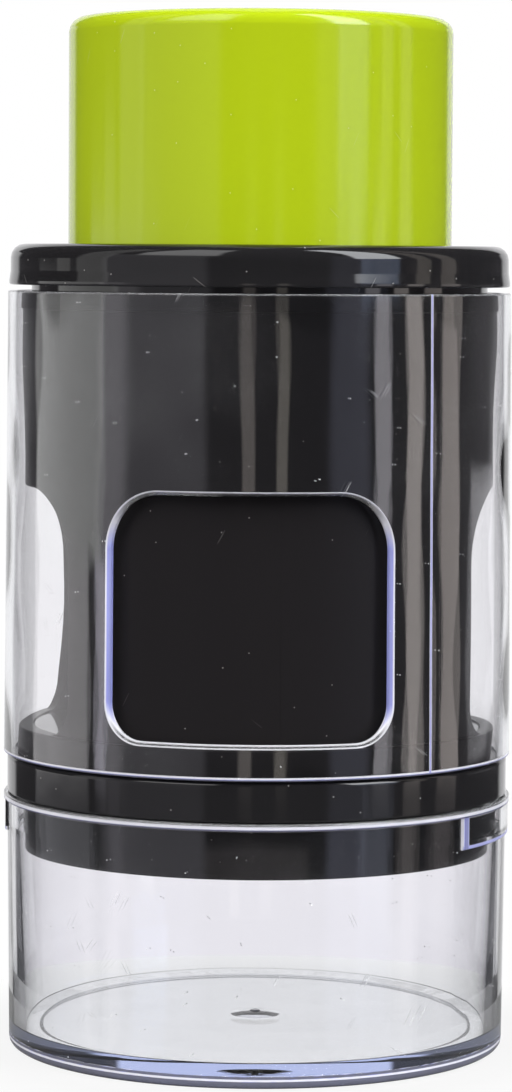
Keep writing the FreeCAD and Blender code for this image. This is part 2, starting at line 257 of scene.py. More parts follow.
# Light and shade painted on the sleeve's foot and top by height, and light painted on the
# line before its rib: painted deep-blue shade at the very foot, painted pale and blue light
# above it, and faint painted light at the top
FOOT_STOPS = (0.0, 0.18, 0.3, 0.38, 0.6, 0.7)
FOOT_PAINTED_LEVELS = (DEEP, DEEP, 1.2, PALE, PALE, 0.0)
TOP_STOPS = (-0.35, -0.2, 0.0)
TOP_PAINTED_LEVELS = (0.0, 0.1, 0.1)
RIB_PAINTED_LEVEL = 0.95
# Light painted as a pale and blue glow on the window's sides, top and bottom, each at the
# bevel's outer corner, middle and inner corner and at the cut's inner corner. In the hole's
# corners it goes over from one to the other, and is there LIGHT_TURN from the top or the bottom
LIGHT_TURN = 1.0
WINDOW_PAINTED_LIGHT = ((PALE, BLUE, 1.1, BLUE), (PALE, 0.1, 0.0, 0.0), (0.35, 0.05, 0.4, 0.1))

# Faint sink marks: waves of (count round, per mm up, phase), each SINK mm deep
SINK = 0.02
BODY_WAVES = ((3, 0.11, 0.4), (5, -0.07, 2.1), (7, 0.05, 4.0))
SLEEVE_WAVES = ((2, 0.05, 1.0), (5, 0.09, 2.0), (9, -0.13, 0.5), (14, 0.21, 3.3))
SLEEVE_BORE_WAVES = ((3, -0.04, 0.3), (6, 0.11, 1.2), (11, -0.16, 2.5))

# Marks, in millimetres and shares of the cells that they lie in: spacing and size of the
# dust on black or lime and on clear plastic, and hairlines with their width, stretch,
# share, strength and the two ways that they lie: turn in radians and spacing
ABS_DUST = (5.5, 0.22)
SAN_DUST = (7.0, 0.2, 0.4)
HAIR_WIDTH = 0.12
HAIR_STRETCH = 22.0
HAIR_SHARE = 0.2
HAIR_LEVEL = 0.35
HAIR_WAYS = ((0.5, 1.5), (-0.9, 1.9))
# Patches with hairlines or a film from handling: how many to a millimetre, the levels of
# noise between which they set in, and the film's strength
PATCHES = 0.05
HAIR_LEVELS = (0.5, 0.6)
FILM_LEVELS = (0.48, 0.7)
FILM = 0.012
# Roughness of a speck on glossy plastic, and on clear plastic of a place that is wholly
# marked, and of one wholly under painted edge light
DUSTY = 0.5
MARK_AND_PAINTED_EDGE_ROUGHNESS = 0.3
# Orange peel: depth, and waves to a millimetre and detail on ABS and on SAN
PEEL_DEPTH = 0.012
ABS_PEEL = (0.16, 1.5)
SAN_PEEL = (0.09, 1.0)
# Ground steel: lines to a millimetre along and across the strip, depth, two greys, roughness
GRIND_SCALE = (0.2, 9.0, 9.0)
GRIND_DEPTH = 0.01
STEEL_GREYS = ("C4C6C8", "D9DADB")
STEEL_ROUGHNESS = (0.18, 0.34)
# How strongly the three plastics bend light
ABS_IOR = 1.53
SATIN_IOR = 1.2
SAN_IOR = 1.57
# Red, green and blue lose 8, 6.4 and 1.2 parts of e in a metre of SAN
SAN_TINT = (0.0, 0.2, 0.85, 1.0)
SAN_DENSITY = 8.0
# Sockets of a Mix node for colours
MIX_A, MIX_B, MIXED = 6, 7, 2

# Studio: dim level all round, and panels of (azimuth from the camera, half width and its
# softness, low and high elevation and their softness, colour as a level of red, green and
# blue). The collar and the cap mirror what is above 0.3 degrees, the sleeve and the body
# 0.3 to -7.5, and the band and the skirt what is below.
AMBIENT = (0.06, 0.06, 0.065)
PANELS = (
    (-180.0, 24.7, 2.0, -95.0, -10.4, 0.3, (0.84, 0.84, 0.85)),
    (-178.5, 31.5, 6.0, -10.4, 10.4, 0.3, (0.84, 0.84, 0.85)),
    (-180.0, 24.7, 2.0, 10.4, 95.0, 0.3, (0.9, 0.9, 0.91)),
    (0.0, 150.0, 1.0, -10.3, -8.6, 0.3, (0.06, 0.055, 0.06)),
    (0.0, 24.0, 3.0, -95.0, -8.5, 0.2, (0.1, 0.09, 0.09)),
    (0.0, 145.0, 5.0, -7.3, 0.3, 0.2, (0.06, 0.055, 0.06)),
    (124.0, 12.0, 3.0, -6.4, -2.6, 0.3, (0.8, 0.79, 0.82)),
    (-50.0, 26.0, 5.0, -2.2, 28.0, 0.8, (0.34, 0.335, 0.36)),
    (-50.0, 26.0, 5.0, -60.0, -2.2, 0.8, (0.23, 0.225, 0.25)),
    (-83.0, 9.2, 1.5, 0.3, 60.0, 0.2, (0.6, 0.6, 0.59)),
    (-101.3, 4.8, 0.8, 0.3, 1.8, 0.2, (0.6, 0.6, 0.58)),
    (-98.0, 23.0, 3.0, -4.0, 0.3, 0.3, (1.18, 1.19, 1.17)),
    (-102.0, 19.0, 2.0, -7.5, -4.0, 0.3, (1.22, 1.19, 1.21)),
    (-75.5, 3.0, 1.0, -7.5, -4.0, 0.3, (1.3, 1.25, 1.45)),
    (-69.5, 7.0, 8.0, -7.5, 0.3, 0.2, (0.5, 0.48, 0.51)),
    (-102.0, 20.0, 1.0, -60.0, -7.5, 0.2, (0.29, 0.29, 0.31)),
    (-68.0, 3.0, 1.0, -60.0, -7.5, 0.2, (0.14, 0.13, 0.15)),
    (-41.0, 21.0, 4.0, 28.0, 70.0, 4.0, (2.4, 2.4, 2.4)),
    (-5.0, 3.0, 1.5, -7.5, 0.0, 0.6, (0.66, 0.6, 0.56)),
    (11.0, 2.5, 1.5, -7.5, 0.3, 0.2, (0.75, 0.7, 0.62)),
    (42.0, 9.0, 5.0, -60.0, 28.0, 5.0, (0.22, 0.23, 0.3)),
    (58.0, 4.0, 1.5, -7.5, 0.3, 0.2, (1.6, 1.55, 1.65)),
    (56.6, 10.0, 2.0, 0.3, 14.5, 1.0, (0.85, 1.05, 1.5)),
    (57.0, 8.0, 1.5, -60.0, -7.5, 0.2, (0.3, 0.32, 0.4)),
    (75.0, 4.5, 1.5, -7.5, 0.3, 0.2, (1.9, 1.75, 1.67)),
    (80.5, 4.3, 1.5, 0.3, 60.0, 0.2, (0.8, 0.73, 0.65)),
    (75.0, 5.0, 1.5, -60.0, -7.5, 0.2, (0.35, 0.32, 0.31)),
    (97.0, 6.5, 1.5, -7.5, 0.3, 0.2, (1.25, 1.13, 1.07)),
    (96.3, 4.9, 1.5, 0.3, 60.0, 0.2, (0.75, 0.68, 0.62)),
    (96.0, 7.0, 1.5, -60.0, -7.5, 0.2, (0.2, 0.18, 0.18)),
)
# Bright softbox, which rays from inside clear plastic miss
SOFTBOX = (56.6, 12.0, 2.0, 14.5, 72.0, 1.5, (7.0, 7.2, 7.4))
# What shows through clear plastic: the dark studio, white straight behind, and low down
# also what thick walls bend in from the sides
STUDIO_SIDE = (0.1, 0.1, 0.13)
SWEEPS = (
    (-180.0, 26.0, 2.0, -7.6, 95.0, 0.3, (0.855, 0.845, 0.84)),
    (-180.0, 28.0, 7.0, -95.0, -7.6, 0.3, (0.885, 0.865, 0.88)),
    (-108.0, 8.0, 5.0, -95.0, -7.6, 0.3, (0.5, 0.49, 0.53)),
    (108.0, 8.0, 5.0, -95.0, -7.6, 0.3, (0.5, 0.49, 0.53)),
)

# Lamps: name, azimuth from the camera, elevation, size in metres, watts. Distance from the
# point that they are aimed at, and the height of that point, both in metres
LAMP_DISTANCE = 1.4
LAMP_AIM = 0.08
LAMPS = (
    ("left_soft_lamp", -50.0, 35.0, 1.0, 11.0),
    ("right_soft_lamp", 50.0, 30.0, 1.0, 6.0),
    ("top_soft_lamp", 170.0, 75.0, 1.0, 5.0),
)

# Table top: radius where it starts to fade and radius of its rim, how many sides the rim
# has, how far the top is lifted to white, and its paint
FLOOR_FADE = 49.0
FLOOR_RADIUS = 70.0
FLOOR_SIDES = 96
FLOOR_WHITE = 0.88
FLOOR_PAINT = "B0B0B0"


def place(radius, angle, height):
    """Points in metres: x = radius sin(angle), y = -radius cos(angle), z = height."""
    angle = np.radians(angle)
    parts = np.broadcast_arrays(radius * np.sin(angle), -radius * np.cos(angle), height)
    return np.stack(parts, axis=-1) * MM


def towards(start, end):
    """Unit vectors from start to end, or zero where they meet, and the distances."""
    gap = end - start
    length = np.linalg.norm(gap, axis=-1, keepdims=True)
    return gap / np.maximum(length, TINY) * (length > TINY), length[:, 0]


def rounded(corners, closed=True):
    """Profile (N, 2) through corners (radius, height[, rounding]).

    Each corner becomes an arc that touches its two sides at rounding / tan(half the
    corner's angle). The arc's points turn evenly about its centre, and one support
    point before and after it keeps the shading of the straight runs even.
    """
    table = np.array([(*corner, EDGE)[:3] for corner in corners], float)
    points, roundings = table[:, :2], table[:, 2]
    back, back_length = towards(points, np.roll(points, 1, axis=0))
    ahead, ahead_length = towards(points, np.roll(points, -1, axis=0))
    cosine = np.clip((back * ahead).sum(axis=1), -STRAIGHT, STRAIGHT)
    half = np.arccos(cosine) / 2
    flat = (back_length < TINY) | (ahead_length < TINY)
    roundings = np.where(flat, 0, roundings)
    if not closed:
        roundings[[0, -1]] = 0
    reach = roundings / np.tan(half)
    bisector = towards(np.zeros_like(back), back + ahead)[0]
    centre = points + bisector * (roundings / np.sin(half))[:, None]
    first = points + back * reach[:, None] - centre
    last = points + ahead * reach[:, None] - centre
    sweep = np.maximum(np.pi - 2 * half, LEAST_SWEEP)[:, None, None]
    share = np.linspace(0, 1, ARC_STEPS + 1)[None, :, None]
    arc = (np.sin((1 - share) * sweep) * first[:, None] + np.sin(share * sweep) * last[:, None])
    arc = centre[:, None] + arc / np.sin(sweep)
    free = ahead_length - reach - np.roll(reach, -1)
    support = np.clip(free / 3, 0, SUPPORT)
    if not closed:
        support[-1] = 0
    before = arc[:, 0] + back * np.roll(support, 1)[:, None]
    after = arc[:, -1] + ahead * support[:, None]
    path = np.concatenate((before[:, None], arc, after[:, None]), axis=1).reshape(-1, 2)
    return np.concatenate((path, path[:1])) if closed else path


def swept(profile, angles):
    """Grid (angles, N, 3): profile (N, 2), or one profile for each angle, turned about Z."""
    profile = np.broadcast_to(profile, (len(angles), *profile.shape[-2:]))
    return place(profile[..., 0], angles[:, None], profile[..., 1])


def step_between(angles, start, end, soft):
    """1 between two angles and 0 outside, with smooth ramps of width soft centred on each."""
    rise = np.clip((angles - start) / soft + 0.5, 0, 1)
    fall = np.clip((end - angles) / soft + 0.5, 0, 1)
    share = np.minimum(rise, fall)
    return share * share * (3 - 2 * share)


def angles_with(edges, soft):
    """Even angles all the way round, with close ones across each edge."""
    even = np.linspace(-180, 180, AROUND + 1)
    close = (np.array(edges)[:, None] + np.linspace(-0.5, 0.5, CLOSE_STEPS) * soft).ravel()
    close = (close + 180) % 360 - 180
    gap = np.abs(even[:, None] - close[None, :]).min(axis=1)
    kept = even[(gap > soft / (CLOSE_STEPS + 1)) | (np.abs(even) == 180)]
    return np.unique(np.concatenate((kept, close)))


def clear_mesh(name, grids):
    """One smooth closed mesh from grids of (points, mask of quads or None, edge values).

    Quads join neighbouring points. Points that meet become one, and the faces are
    turned outwards. The edge values say how much light, and above the blue level how much
    deep-blue shade, is painted into a clear wall's colour at a point.
    """
    points, quads, edges, count = [], [], [], 0
    for grid, keep, edge in grids:
        rows, columns = grid.shape[:2]
        index = count + np.arange(rows * columns).reshape(rows, columns)
        faces = np.stack((index[:-1, :-1], index[:-1, 1:], index[1:, 1:], index[1:, :-1]), axis=-1)
        quads.append(faces.reshape(-1, 4) if keep is None else faces[keep])
        points.append(grid.reshape(-1, 3))
        edges.append(np.broadcast_to(edge, (rows, columns)).ravel())
        count += rows * columns
    mesh = bpy.data.meshes.new(name)
    mesh.from_pydata(np.concatenate(points), [], np.concatenate(quads).tolist())
    # Edge values: light and shade painted into the clear material's colour
    mesh.attributes.new("edge", "FLOAT", "POINT").data.foreach_set("value", np.concatenate(edges))
    work = bmesh.new()
    work.from_mesh(mesh)
    bmesh.ops.remove_doubles(work, verts=work.verts, dist=WELD)
    bmesh.ops.recalc_face_normals(work, faces=work.faces)
    work.to_mesh(mesh)
    work.free()
    mesh.shade_smooth()
    mesh.set_sharp_from_angle(angle=math.radians(SHARP))
    return mesh


def add_piece(name, grids, body, node, material):
    """New piece that stands for a CAD node and moves with its body."""
    piece = bpy.data.objects.new(name, clear_mesh(name, grids))
    bpy.context.scene.collection.objects.link(piece)
    piece.data.materials.append(material)
    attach(piece, body)
    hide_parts(node)
    return piece


def hat(value, start, peak, end):
    """1 at the peak, falling in straight lines to 0 at start and end."""
    return np.interp(value, [start, peak, end], [0, 1, 0])


def pierced(across, up, hole, offset):
    """Distances along and up a wall (rows, columns) round a hole with rounded corners.

    The hole's sides lie on grid lines. An offset moves them out, and the lines near them
    by less. Round the hole lie nested rectangles, each further out by a distance d, and
    a corner of one is drawn as an arc of radius r (1 - d / reach): a point whose
    distance to the corner along a side is q < r goes to 45 (1 - q / r) degrees on the arc
    from that side.
    """
    half, low, high, reach = hole["half"], hole["low"], hole["high"], hole["reach"]
    low_offset = offset * hole["low_share"]
    u, v = np.meshgrid(across, up)
    fade = np.interp(v, [low - reach, low, high, high + reach], [0, 1, 1, 0])
    u = u + np.sign(u) * offset * fade * hat(abs(u), half - hole["round_high"], half, half + reach)
    v = v + offset * hat(v, high - hole["round_high"], high, high + reach)
    v = v - low_offset * hat(v, low - reach, low, low + hole["round_low"])
    middle = (low + high) / 2
    upper = v > middle
    edge = np.where(upper, high + offset - middle, middle - low + low_offset)
    start = np.where(upper, hole["round_high"], hole["round_low"]) + offset
    away, rise = abs(u) - half - offset, abs(v - middle) - edge
    distance = np.maximum(away, rise)
    radius = start * np.clip(1 - distance / reach, 0, 1) * (distance > -TINY)
    to_side = np.where(away >= rise, distance - rise, distance - away)
    turn = np.pi / 4 * np.clip(1 - to_side / np.maximum(radius, TINY), 0, 1)
    turn = np.where(away >= rise, turn, np.pi / 2 - turn)
    bent = to_side < radius
    corner_u, corner_v = half + offset + distance - radius, edge + distance - radius
    u = np.where(bent, np.sign(u) * (corner_u + radius * np.cos(turn)), u)
    v = np.where(bent, middle + np.where(upper, 1, -1) * (corner_v + radius * np.sin(turn)), v)
    if up[0] == low:
        u[0], v[0] = across, low
    return u, v


def hole_lines(span, hole, own):
    """Grid lines along a wall, symmetric about the hole: on its sides, round it, and the wall's own."""
    half, rounding, reach = hole["half"], hole["round_high"], hole["reach"]
    stretches = [
        np.linspace(0, half - rounding, 1 + math.ceil((half - rounding) / WALL_SPACING)),
        np.linspace(half - rounding, half, 1 + math.ceil(rounding / CORNER_SPACING)),
        np.linspace(half, half + reach, HALO_LINES),
        np.linspace(half + reach, span, 1 + math.ceil((span - half - reach) / WALL_SPACING)),
    ]
    side = np.unique(np.concatenate(stretches).round(6))
    lines = np.unique(np.concatenate((-side, side)))
    clear = [line for line in lines if abs(line) == span or abs(line - own).min() > OWN_GAP]
    return np.unique(np.concatenate((clear, own)))


def hole_levels(hole, below, above):
    """Levels up a wall, with lines on the hole's edges, and the rows of those edges.

    With nothing below, the hole's lower edge has a second line, which pierced() leaves
    straight.
    """
    low, high, reach = hole["low"], hole["high"], hole["reach"]
    inside = np.unique(np.concatenate((
        np.linspace(low, low + hole["round_low"], PART_LINES),
        np.linspace(low + hole["round_low"], high - hole["round_high"], PART_LINES),
        np.linspace(high - hole["round_high"], high, HIGH_LINES),
    )).round(6))
    under = np.linspace(low - reach, low, HALO_LINES)[:-1] if len(below) else [low]
    over = np.linspace(high, high + reach, HALO_LINES)[1:]
    levels = np.concatenate((below, under, inside, over, above))
    first = len(below) + len(under)
    return levels, (first, first + len(inside) - 1)


def loop_of(rows, columns):
    """Index arrays that go once round a block of grid points."""
    (row0, row1), (column0, column1) = rows, columns
    along = np.arange(column0, column1)
    up = np.arange(row0, row1)
    i = (np.full(len(along), row0), up, np.full(len(along), row1), up[::-1] + 1, [row0])
    j = (along, np.full(len(up), column1), along[::-1] + 1, np.full(len(up), column0), [column0])
    return np.concatenate(i), np.concatenate(j)


def linear(colour):
    """Linear RGBA of an sRGB hex colour such as B0C81E."""
    shares = np.array([int(colour[i:i + 2], 16) for i in (0, 2, 4)]) / 255
    values = np.where(shares <= 0.04045, shares / 12.92, ((shares + 0.055) / 1.055) ** 2.4)
    return (*values.tolist(), 1.0)


def add_node(tree, kind, inputs=None, **settings):
    """Adds a shader node. An input is a value, an output, or a node, for its first output."""
    node = tree.nodes.new("ShaderNode" + kind)
    for name, value in settings.items():
        setattr(node, name, value)
    for name, value in (inputs or {}).items():
        if isinstance(value, bpy.types.Node):
            value = value.outputs[0]
        if isinstance(value, bpy.types.NodeSocket):
            tree.links.new(value, node.inputs[name])
        else:
            node.inputs[name].default_value = value
    return node


def new_material(name):
    """Material without nodes, and its node tree."""
    material = bpy.data.materials.new(name)
    material.use_nodes = True
    material.node_tree.nodes.clear()
    return material, material.node_tree


def in_millimetres(tree):
    """Object coordinates, counted in millimetres."""
    where = add_node(tree, "TexCoord").outputs["Object"]
    return add_node(tree, "VectorMath", {0: where, "Scale": 1 / MM}, operation="SCALE")


def unrolled(tree):
    """Millimetres along and up a wall that is turned about Z, for marks that lie in its skin."""
    axes = add_node(tree, "SeparateXYZ", {0: in_millimetres(tree)}).outputs
    turn = add_node(tree, "Math", {0: axes[0], 1: axes[1]}, operation="ARCTAN2")
    along = add_node(tree, "Math", {0: turn, 1: BODY}, operation="MULTIPLY")
    return add_node(tree, "CombineXYZ", {0: along, 1: axes[2]})


def dust(tree, where, spacing, size, share):
    """Mask of round specks, size mm across, one in some of the cells spacing mm wide."""
    cells = add_node(tree, "TexVoronoi", {"Vector": where, "Scale": 1 / spacing},
                     voronoi_dimensions="2D").outputs
    chosen = add_node(tree, "SeparateColor", {0: cells["Color"]})
    chosen = add_node(tree, "Math", {0: chosen, 1: share}, operation="LESS_THAN")
    near = add_node(tree, "Math", {0: cells["Distance"], 1: size / spacing / 2}, operation="LESS_THAN")
    return add_node(tree, "Math", {0: chosen, 1: near}, operation="MULTIPLY")


def patches_on(tree, where, detail, levels, strength):
    """Soft patches of a strength, which set in between two levels of a noise."""
    noise = add_node(tree, "TexNoise", {"Vector": where, "Scale": PATCHES, "Detail": detail})
    return add_node(tree, "MapRange", {"Value": noise, "From Min": levels[0], "From Max": levels[1],
                                       "To Max": strength})


def marks_on(tree, spacing, size, share):
    """Mask of dust, and of hairlines that lie two ways in some patches of the wall."""
    where = unrolled(tree)
    patches = patches_on(tree, where, 1.0, HAIR_LEVELS, HAIR_LEVEL)
    marks = dust(tree, where, spacing, size, share)
    for turn, spread in HAIR_WAYS:
        turned = add_node(tree, "Mapping", {"Vector": where, "Rotation": (0.0, 0.0, turn),
                                            "Scale": (1.0, HAIR_STRETCH, 1.0)}, vector_type="TEXTURE")
        hairs = dust(tree, turned, spread, HAIR_WIDTH, HAIR_SHARE)
        hairs = add_node(tree, "Math", {0: hairs, 1: patches}, operation="MULTIPLY")
        marks = add_node(tree, "Math", {0: marks, 1: hairs}, operation="MAXIMUM")
    return marks


def orange_peel(tree, scale, detail):
    """Normal of a moulded skin, whose faint waves bend what it mirrors."""
    waves = add_node(tree, "TexNoise", {"Vector": in_millimetres(tree), "Scale": scale, "Detail": detail})
    return add_node(tree, "Bump", {"Height": waves, "Strength": 1.0, "Distance": PEEL_DEPTH * MM})


def gloss_abs(name, colour, roughness, dust_colour, dust_share, ior=ABS_IOR):
    """Injection-moulded ABS: an even colour under a smooth skin.

    The eye sees sharp reflections that a faint orange peel bends, a few dust specks and
    short hairlines.
    """
    material, tree = new_material(name)
    marks = marks_on(tree, *ABS_DUST, dust_share)
    tint = add_node(tree, "Mix", {0: marks, MIX_A: linear(colour), MIX_B: linear(dust_colour)},
                    data_type="RGBA").outputs[MIXED]
    wear = add_node(tree, "MapRange", {"Value": marks, "To Min": roughness, "To Max": DUSTY})
    shader = add_node(tree, "BsdfPrincipled", {
        "Base Color": tint, "Roughness": wear, "IOR": ior, "Normal": orange_peel(tree, *ABS_PEEL)})
    add_node(tree, "OutputMaterial", {"Surface": shader})
    return material


def clear_san(name):
    """Clear injection-moulded SAN with a faint lavender cast.

    The eye sees through it almost without tint across a wall, and a violet blue where it
    looks along one, because red and green are taken up on the way. Its skin carries dust,
    hairlines and a faint film from handling. Light and shade are painted into its colour where
    the edge attribute says: a pale and a blue glow on cut edges and rims, and a deep-blue
    painted shade under lips, which also make it less clear there.
    """
    material, tree = new_material(name)
    marks = marks_on(tree, *SAN_DUST)
    film = patches_on(tree, in_millimetres(tree), 2.0, FILM_LEVELS, FILM)
    marks = add_node(tree, "Math", {0: marks, 1: film}, operation="MAXIMUM")
    edge = add_node(tree, "Attribute", attribute_name="edge").outputs["Fac"]
    # Painted edge light and shade show from outside only: from within the plastic the wall behind stays
    # clear
    within = add_node(tree, "NewGeometry").outputs["Backfacing"]
    outwards = add_node(tree, "Math", {0: 1.0, 1: within}, operation="SUBTRACT")
    edge = add_node(tree, "Math", {0: edge, 1: outwards}, operation="MULTIPLY")
    # Painted light and shade: shares of painted colour, of the painted blue glow and of the painted
    # deep-blue shade
    lit = add_node(tree, "MapRange", {"Value": edge, "From Max": PALE, "To Max": PAINTED_EDGE_SHARE})
    blue = add_node(tree, "MapRange", {"Value": edge, "From Min": PALE, "From Max": BLUE})
    deep = add_node(tree, "MapRange", {"Value": edge, "From Min": BLUE, "From Max": DEEP})
    hue = linear(PAINTED_PALE_GLOW)
    for share, colour in ((blue, PAINTED_BLUE_GLOW), (deep, PAINTED_DEEP_SHADE)):
        hue = add_node(tree, "Mix", {0: share, MIX_A: hue, MIX_B: linear(colour)},
                       data_type="RGBA").outputs[MIXED]
    # Base colour: white, with the painted edge light and shade mixed in
    tint = add_node(tree, "Mix", {0: lit, MIX_A: linear("FFFFFF"), MIX_B: hue},
                    data_type="RGBA").outputs[MIXED]
    # Where the painted edge colour shows, the plastic is as unclear and as rough as where it is marked
    marks = add_node(tree, "Math", {0: marks, 1: lit}, operation="MAXIMUM")
    clearness = add_node(tree, "Math", {0: 1.0, 1: marks}, operation="SUBTRACT")
    wear = add_node(tree, "Math", {0: marks, 1: MARK_AND_PAINTED_EDGE_ROUGHNESS}, operation="MULTIPLY")
    shader = add_node(tree, "BsdfPrincipled", {
        "Base Color": tint, "Roughness": wear, "IOR": SAN_IOR,
        "Transmission Weight": clearness, "Normal": orange_peel(tree, *SAN_PEEL)})
    inside = add_node(tree, "VolumeAbsorption", {"Color": SAN_TINT, "Density": SAN_DENSITY})
    add_node(tree, "OutputMaterial", {"Surface": shader, "Volume": inside})
    return material


def ground_steel(name):
    """Stainless strip, ground along its length: fine lines that stretch the highlights."""
    material, tree = new_material(name)
    along = add_node(tree, "Mapping", {"Vector": in_millimetres(tree), "Scale": GRIND_SCALE})
    lines = add_node(tree, "TexNoise", {"Vector": along, "Scale": 1.0, "Detail": 3.0})
    dark, pale = STEEL_GREYS
    grey = add_node(tree, "Mix", {0: lines, MIX_A: linear(dark), MIX_B: linear(pale)},
                    data_type="RGBA").outputs[MIXED]
    least, most = STEEL_ROUGHNESS
    rough = add_node(tree, "MapRange", {"Value": lines, "To Min": least, "To Max": most})
    bump = add_node(tree, "Bump", {"Height": lines, "Distance": GRIND_DEPTH * MM})
    shader = add_node(tree, "BsdfPrincipled", {
        "Base Color": grey, "Metallic": 1.0, "Roughness": rough, "Normal": bump})
    add_node(tree, "OutputMaterial", {"Surface": shader})
    return material


def palm_cap(material):
    """Deep cup, open below: its profile turned about Z."""
    profile = rounded([
        (0, CAP_ROOF), (CAP_BORE, CAP_ROOF, CAP_ROUND / 2), (CAP_BORE, CAP_LOW), (CAP, CAP_LOW, SOFT_EDGE),
        (CAP, CAP_TOP, CAP_ROUND), (0, CAP_TOP),
    ], closed=False)
    grid = swept(profile, np.linspace(-180, 180, AROUND + 1))
    return add_piece("palm_cap", [(grid, None, WALL)], "plunger", "plunger_cap", material)


def collar_ring(material):
    """Rounded top, outer skin, plug and bore: its profile turned about Z."""
    profile = rounded([
        (GUIDE, PLUG_LOW, SOFT_EDGE), (GUIDE_OUT, PLUG_LOW, SOFT_EDGE), (GUIDE_OUT, COLLAR_PLATE),
        (PLUG_BORE, COLLAR_PLATE), (PLUG_BORE, PLUG_LOW), (PLUG, PLUG_LOW), (PLUG, COLLAR_PLATE),
        (COLLAR_SKIN, COLLAR_PLATE), (COLLAR_SKIN, COLLAR_LOW), (COLLAR, COLLAR_LOW, SOFT_EDGE),
        (COLLAR, FLARE_LOW, SOFT_EDGE), (COLLAR - FLARE, FLARE_HIGH, FLARE_ROUND),
        (COLLAR - FLARE - COLLAR_DRAFT, COLLAR_TOP, COLLAR_ROUND), (GUIDE, COLLAR_TOP, GUIDE_ROUND),
    ])
    grid = swept(profile, np.linspace(-180, 180, AROUND + 1))
    return add_piece("collar_ring", [(grid, None, WALL)], "head", "top_collar", material)


def skirted_band(material):
    """Band, ledge and skirt turned about Z, and thicker over two stretches, the bayonet lugs."""
    plain, lugged = (rounded([
        (SKIRT_BORE, SKIRT_LOW, LIP_EDGE), (SKIRT, SKIRT_LOW, LIP_EDGE), (SKIRT, LUG_LOW),
        (out, LUG_LOW), (out, LUG_HIGH), (SKIRT, LUG_HIGH), (SKIRT, BAND_LOW),
        (BAND, BAND_LOW, SOFT_EDGE), (BAND, BAND_SEAT, BAND_ROUND), (SEAT_IN, BAND_SEAT),
        (SEAT_IN, BAND_TOP), (SOCKET, BAND_TOP), (SOCKET, LEDGE_TOP), (LEDGE_BORE, LEDGE_TOP, LIP_EDGE),
        (LEDGE_BORE, LEDGE_LOW, LIP_EDGE), (SKIRT_BORE, LEDGE_LOW),
    ]) for out in (SKIRT, LUG))
    starts = (LUG_START, LUG_START - 180)
    angles = angles_with([edge for start in starts for edge in (start, start + LUG_SPAN)], LUG_SOFT)
    share = sum(step_between(angles, start, start + LUG_SPAN, LUG_SOFT) for start in starts)
    grid = swept(plain + share[:, None, None] * (lugged - plain), angles)
    return add_piece("skirted_band", [(grid, None, WALL)], "head", "base_ring", material)


def cup_outline(outside, inside, lip):
    """Profile of the cup from a pocket's outside and inside radius and the radius over it."""
    draft = (CUP_OUT_TOP - CUP_OUT_BASE) / POCKET_LOW
    shoulder, rise = GATE_SHOULDER
    gate_top = CUP_FLOOR + GATE_HEIGHT
    return rounded([
        (0, CUP_RECESS), (CUP_FOOT, CUP_RECESS, SOFT_EDGE), (CUP_FOOT, 0, SOFT_EDGE),
        (CUP_OUT_BASE, 0, CUP_ROUND),
        *((CUP_OUT_BASE + draft * line, line, FAINT_EDGE) for line in CUP_LINES),
        (CUP_OUT_TOP, POCKET_LOW), (outside, POCKET_LOW), (outside, POCKET_LOW + POCKET_BAND),
        (outside, CUP_BEAD_LOW), (CUP_BEAD, CUP_BEAD_LOW, BEAD_ROUND),
        (CUP_BEAD, CUP_BEAD_LOW + CUP_BEAD_LIP), (CUP_BEAD, CUP_BEAD_LOW + CUP_BEAD_WHITE),
        (CUP_BEAD, CUP_TOP, SOFT_EDGE), (lip, CUP_TOP, RIM_ROUND), (lip, CUP_BEAD_LOW),
        (inside, CUP_BEAD_LOW), (inside, POCKET_FLOOR), (CUP_BORE_TOP, POCKET_FLOOR),
        (CUP_BORE_BASE, CUP_FLOOR, CUP_FILLET), (GATE_RADIUS, CUP_FLOOR, GATE_FOOT_ROUND),
        (GATE_RADIUS * shoulder, CUP_FLOOR + GATE_HEIGHT * rise, GATE_SHOULDER_ROUND),
        (NUB_RADIUS, gate_top, NUB_ROUND), (NUB_RADIUS - NUB_HEIGHT, gate_top + NUB_HEIGHT, NUB_ROUND),
        (0, gate_top + NUB_HEIGHT),
    ], closed=False)


def cup_painted_light(**runs):
    """Painted light and shade along the cup's profile: a run's own, and on an arc a blend of its two runs'.
    """
    level = np.zeros(max(CUP_RUNS.values()) + 1)
    for run, value in runs.items():
        level[CUP_RUNS[run]] = value
    before, after = np.concatenate(([0], level)), np.concatenate((level, [0]))
    share = np.concatenate(([0], np.linspace(0, 1, ARC_STEPS + 1), [1]))
    return (before[:, None] * (1 - share) + after[:, None] * share).ravel()


